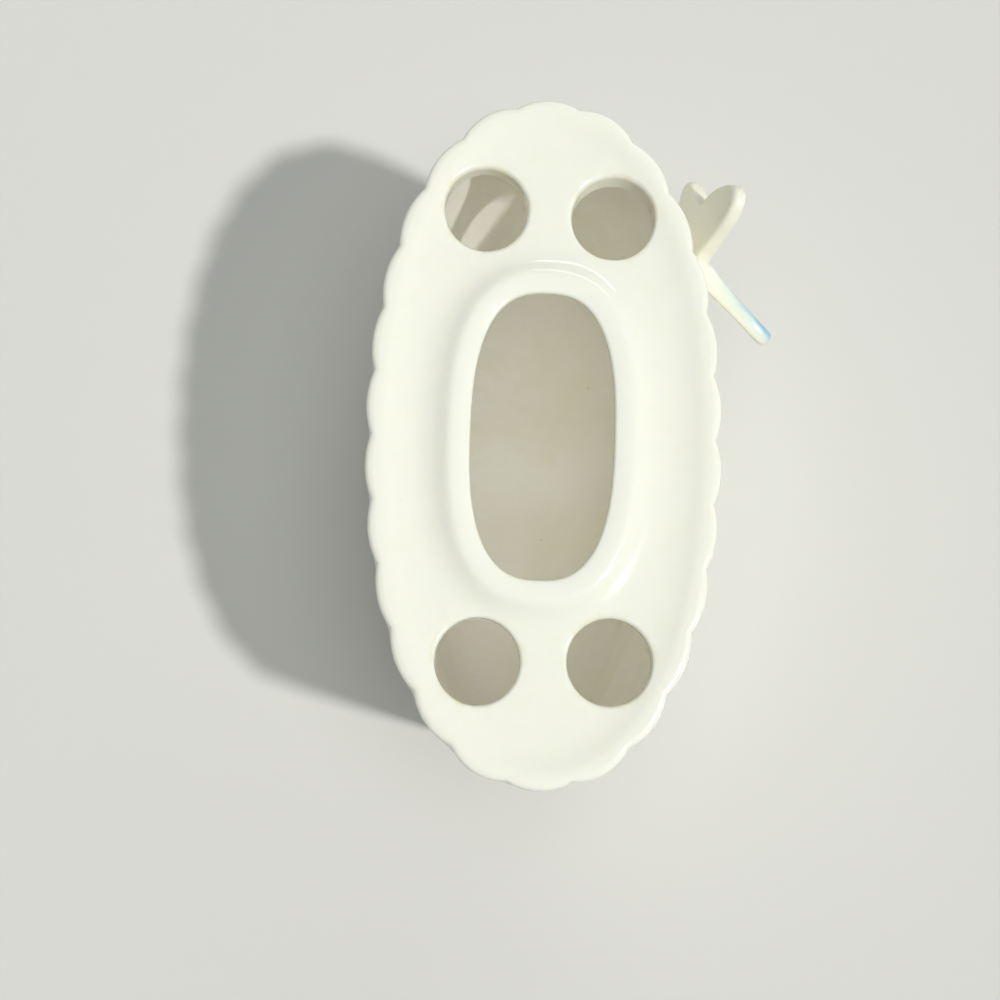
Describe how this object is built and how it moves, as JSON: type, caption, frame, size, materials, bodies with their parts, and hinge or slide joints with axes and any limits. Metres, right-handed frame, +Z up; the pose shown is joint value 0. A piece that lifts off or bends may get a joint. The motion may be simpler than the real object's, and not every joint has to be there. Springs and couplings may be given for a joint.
{
  "type": "toothbrush holder",
  "caption": "Oval scalloped porcelain toothbrush holder with round brush holes, a collared central opening for the paste tube, and a butterfly perched on the wall.",
  "frame": {"origin": "middle of the flat foot, on the surface that the holder stands on", "axes": "+Z up through the paste opening, +Y along the long axis of the oval, +X across it, towards the side that carries the butterfly"},
  "size_m": [0.0892, 0.149, 0.0959],
  "materials": {
    "ivory_porcelain": "glossy clear glaze over ivory porcelain, unglazed under the foot",
    "butterfly_porcelain": "glossy clear glaze over ivory porcelain",
    "tinted_porcelain": "ivory porcelain with a pale blue wash on the upper faces, under a glossy clear glaze"
  },
  "bodies": {
    "root": {"fluted_vessel": "ivory_porcelain", "holed_deck": "ivory_porcelain", "opening_collar": "ivory_porcelain", "butterfly_body": "butterfly_porcelain", "upper_wing": "tinted_porcelain", "lower_wing": "tinted_porcelain"}
  },
  "joints": []
}
